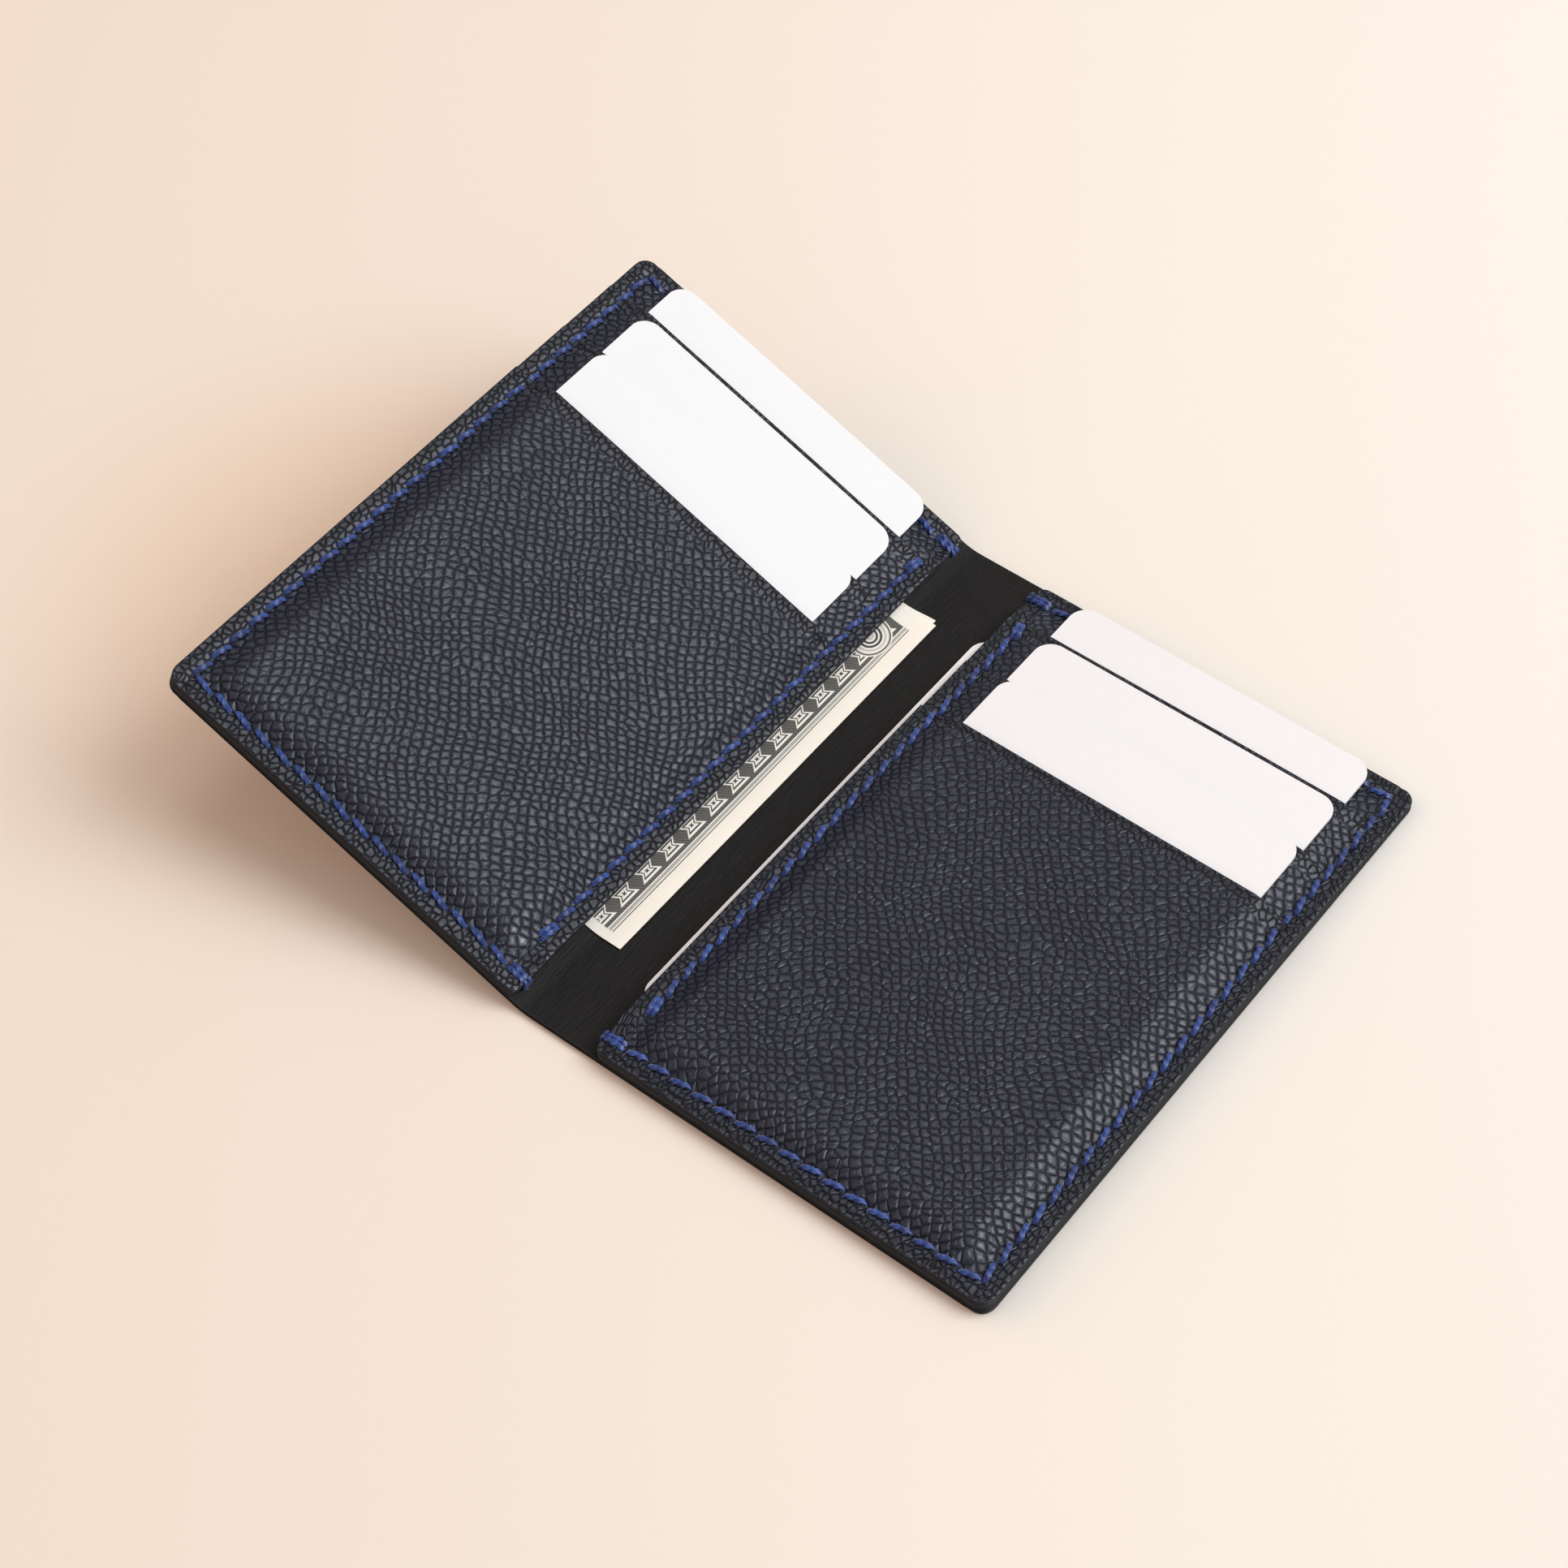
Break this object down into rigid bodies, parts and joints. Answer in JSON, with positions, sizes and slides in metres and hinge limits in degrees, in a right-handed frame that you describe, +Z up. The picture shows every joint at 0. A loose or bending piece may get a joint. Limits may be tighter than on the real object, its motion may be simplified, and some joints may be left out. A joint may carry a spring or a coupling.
{
  "type": "card wallet",
  "caption": "Vertical folding card wallet in grained leather, lying open with cards in stepped pockets and a folded note in the spine-side pocket.",
  "frame": {"origin": "centre of the box's underside, on the surface that the wallet lies on", "axes": "+X across the opening towards the right wing, +Y along the spine towards the pocket mouths, +Z up"},
  "size_m": [0.1496, 0.1112, 0.029],
  "materials": {
    "grained_leather": "dark navy embossed leather, semi-matt, with black painted edges",
    "smooth_lining": "thin smooth black leather lining, satin",
    "waxed_thread": "royal blue waxed twisted thread",
    "white_card": "blank white card stock, smooth and matt",
    "note_paper": null
  },
  "bodies": {
    "right_wing": {"cover_right": "grained_leather", "lining_right": "smooth_lining", "back_panel_right": "grained_leather", "pocket_1_right": "grained_leather", "pocket_2_right": "grained_leather", "front_pocket_right": "grained_leather", "edge_thread_right": "waxed_thread", "spine_thread_right": "waxed_thread"},
    "spine": {"cover_spine": "grained_leather", "lining_spine": "smooth_lining", "banknote_end": "note_paper"},
    "left_wing": {"cover_left": "grained_leather", "lining_left": "smooth_lining", "back_panel_left": "grained_leather", "pocket_1_left": "grained_leather", "pocket_2_left": "grained_leather", "front_pocket_left": "grained_leather", "edge_thread_left": "waxed_thread", "spine_thread_left": "waxed_thread", "banknote_in_pocket": "note_paper"},
    "card_1_right": {"card_1_right": "white_card"},
    "card_2_right": {"card_2_right": "white_card"},
    "card_3_right": {"card_3_right": "white_card"},
    "card_1_left": {"card_1_left": "white_card"},
    "card_2_left": {"card_2_left": "white_card"},
    "card_3_left": {"card_3_left": "white_card"},
    "hidden_card": {"hidden_card": "white_card"}
  },
  "joints": [
    {"name": "right_fold", "type": "hinge", "parent": "right_wing", "child": "spine", "pos_m": [0.00252, 0, 0.00045], "axis": [0, 1, 0], "range_deg": [0, 90]},
    {"name": "left_fold", "type": "hinge", "parent": "spine", "child": "left_wing", "pos_m": [-0.00828, 0, 0.00045], "axis": [0, 1, 0], "range_deg": [-21.4, 68.6]},
    {"name": "card_1_right_slide", "type": "slide", "parent": "right_wing", "child": "card_1_right", "axis": [0, 1, 0], "range_m": [0, 0.07]},
    {"name": "card_2_right_slide", "type": "slide", "parent": "right_wing", "child": "card_2_right", "axis": [0, 1, 0], "range_m": [0, 0.07]},
    {"name": "card_3_right_slide", "type": "slide", "parent": "right_wing", "child": "card_3_right", "axis": [0, 1, 0], "range_m": [0, 0.07]},
    {"name": "card_1_left_slide", "type": "slide", "parent": "left_wing", "child": "card_1_left", "axis": [0, 1, 0], "range_m": [0, 0.07]},
    {"name": "card_2_left_slide", "type": "slide", "parent": "left_wing", "child": "card_2_left", "axis": [0, 1, 0], "range_m": [0, 0.07]},
    {"name": "card_3_left_slide", "type": "slide", "parent": "left_wing", "child": "card_3_left", "axis": [0, 1, 0], "range_m": [0, 0.07]},
    {"name": "hidden_card_slide", "type": "slide", "parent": "right_wing", "child": "hidden_card", "axis": [1, 0, 0], "range_m": [-0.01, 0]}
  ]
}
